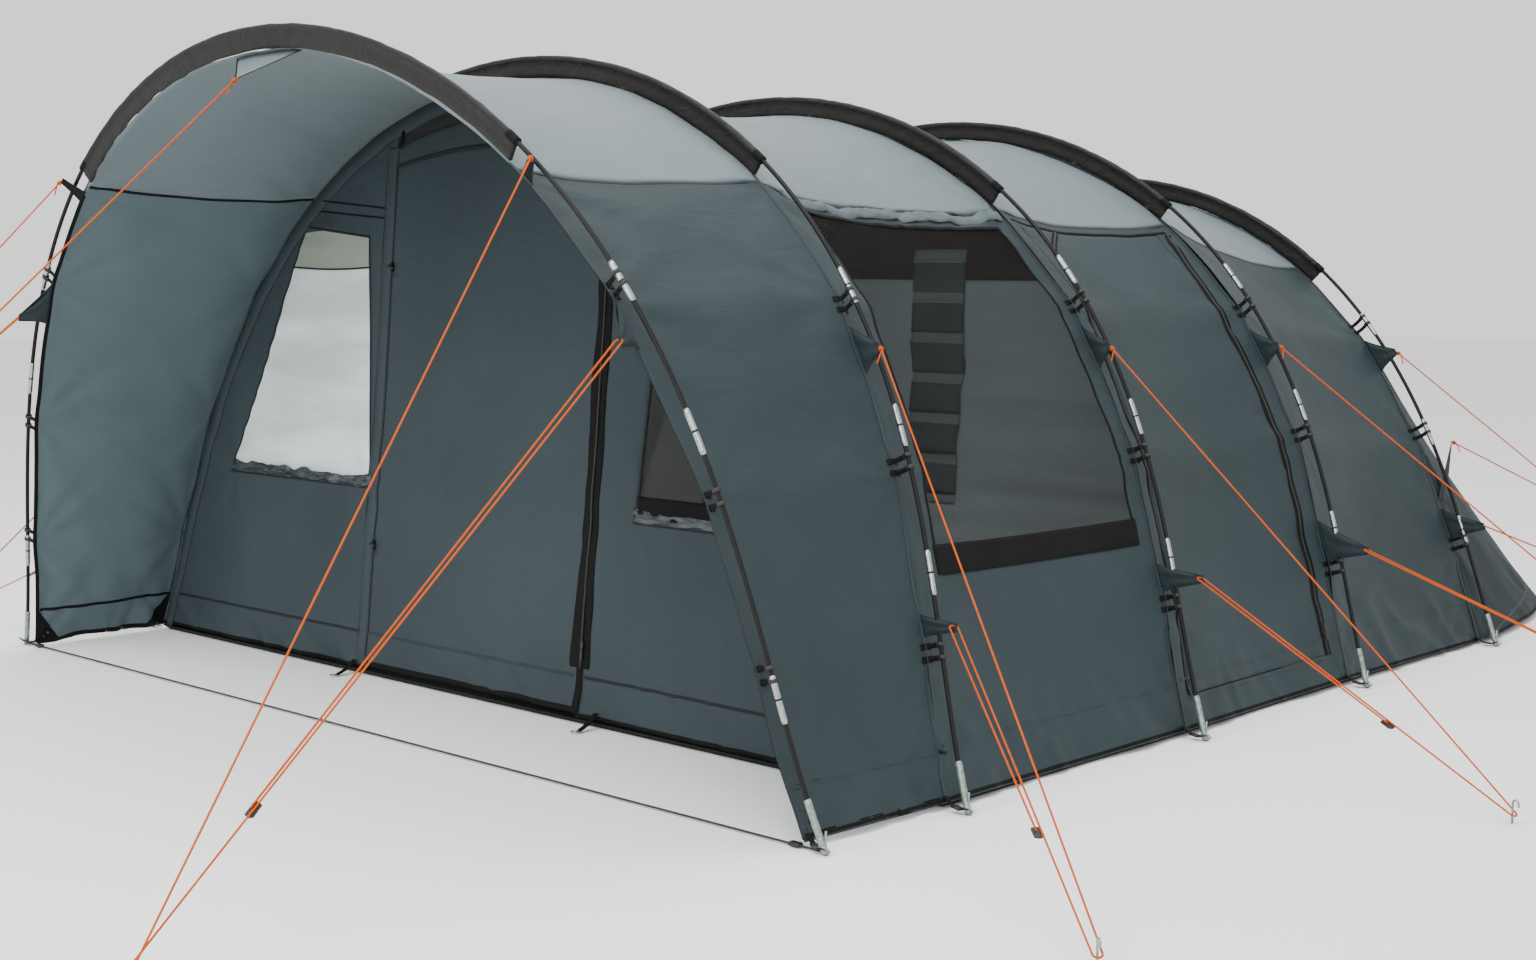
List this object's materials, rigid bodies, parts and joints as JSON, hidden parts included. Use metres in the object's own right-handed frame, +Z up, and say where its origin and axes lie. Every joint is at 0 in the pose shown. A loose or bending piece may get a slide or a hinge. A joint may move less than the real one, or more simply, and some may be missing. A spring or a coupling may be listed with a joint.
{
  "type": "tunnel tent",
  "caption": "Family tunnel tent on arched poles with an open front canopy, zipped doors, side windows, an inner tent, groundsheet, guy ropes and pegs.",
  "frame": {"origin": "on the ground, at the middle of the tent's length and width, without its guy ropes", "axes": "+Y along the tunnel from the open canopy to the rear, +X to the side with the zipped side door, +Z up"},
  "size_m": [5.6911, 7.6886, 2.0775],
  "materials": {
    "fly_roof": "coated polyester, plain weave, sun-lit",
    "fly_wall": "coated polyester, plain weave",
    "front_wall": "coated polyester, plain weave",
    "pole_sleeve": "heavier black polyester",
    "pole": "black glass-fibre rod with metal end tubes",
    "mesh_window": "dark see-through window",
    "clear_window": "clear film",
    "vent_mesh": "black mesh",
    "groundsheet": "woven polyethylene",
    "inner_tent": "breathable polyester",
    "zip_slider": "black lacquer",
    "strap": "black webbing",
    "guy_rope": "braided orange line",
    "peg": "galvanised",
    "rope_slider": "moulded"
  },
  "bodies": {
    "tent": {"bedroom_front_left": "fly_wall", "bedroom_front_right": "fly_wall", "bedroom_front_roof": "fly_roof", "bedroom_rear_left": "fly_wall", "bedroom_rear_right": "fly_wall", "bedroom_rear_roof": "fly_roof", "canopy_left": "fly_wall", "canopy_right": "fly_wall", "canopy_roof": "fly_roof", "front_vent": "vent_mesh", "front_wall_left": "front_wall", "front_wall_right": "front_wall", "front_window_left": "clear_window", "front_window_right": "clear_window", "ground_strap": "strap", "groundsheet": "groundsheet", "guy_front": "guy_rope", "guy_left_1": "guy_rope", "guy_left_2": "guy_rope", "guy_rear": "guy_rope", "guy_right_1": "guy_rope", "guy_right_2": "guy_rope", "guy_right_3": "guy_rope", "guy_right_4": "guy_rope", "guy_right_5": "guy_rope", "inner_body": "inner_tent", "inner_front": "inner_tent", "inner_rear": "inner_tent", "living_left": "fly_wall", "living_right": "fly_wall", "living_roof": "fly_roof", "peg_front": "peg", "peg_left_1": "peg", "peg_left_2": "peg", "peg_rear": "peg", "peg_right_1": "peg", "peg_right_2": "peg", "peg_right_3": "peg", "peg_right_4": "peg", "peg_right_5": "peg", "pole_1": "pole", "pole_2": "pole", "pole_3": "pole", "pole_4": "pole", "pole_5": "pole", "rear_wall": "fly_wall", "sleeve_1": "pole_sleeve", "sleeve_2": "pole_sleeve", "sleeve_3": "pole_sleeve", "sleeve_4": "pole_sleeve", "sleeve_5": "pole_sleeve", "window_left": "mesh_window", "window_right": "mesh_window"},
    "front_door_leaf": {"front_door": "front_wall"},
    "side_door_leaf": {"side_door": "fly_wall"},
    "front_zip": {"front_zip_slider": "zip_slider"},
    "side_zip": {"side_zip_slider": "zip_slider"},
    "slider_1": {"runner_right_1": "rope_slider"},
    "slider_2": {"runner_right_2": "rope_slider"},
    "slider_3": {"runner_right_3": "rope_slider"}
  },
  "joints": [
    {"name": "front_door_swing", "type": "hinge", "parent": "tent", "child": "front_door_leaf", "pos_m": [-0.62, -1.78901, 0.89509], "axis": [0, -0.1043, -0.9945], "range_deg": [0, 75]},
    {"name": "side_door_lift", "type": "hinge", "parent": "tent", "child": "side_door_leaf", "pos_m": [1.09531, -0.09974, 1.50665], "axis": [0.025, -0.999, 0.0361], "range_deg": [0, 80]},
    {"name": "front_zip_slide", "type": "slide", "parent": "tent", "child": "front_zip", "axis": [0, 0.1043, 0.9945], "range_m": [0, 1.4]},
    {"name": "side_zip_slide", "type": "slide", "parent": "tent", "child": "side_zip", "axis": [-0.3057, 0.0779, 0.9489], "range_m": [0, 0.25]},
    {"name": "rope_slider_1_slide", "type": "slide", "parent": "tent", "child": "slider_1", "axis": [-0.0807, 0.7691, 0.634], "range_m": [-0.12, 0.15]},
    {"name": "rope_slider_2_slide", "type": "slide", "parent": "tent", "child": "slider_2", "axis": [-0.7422, 0.5817, 0.3328], "range_m": [-0.12, 0.15]},
    {"name": "rope_slider_3_slide", "type": "slide", "parent": "tent", "child": "slider_3", "axis": [-0.8991, 0.2405, 0.3657], "range_m": [-0.12, 0.15]}
  ]
}
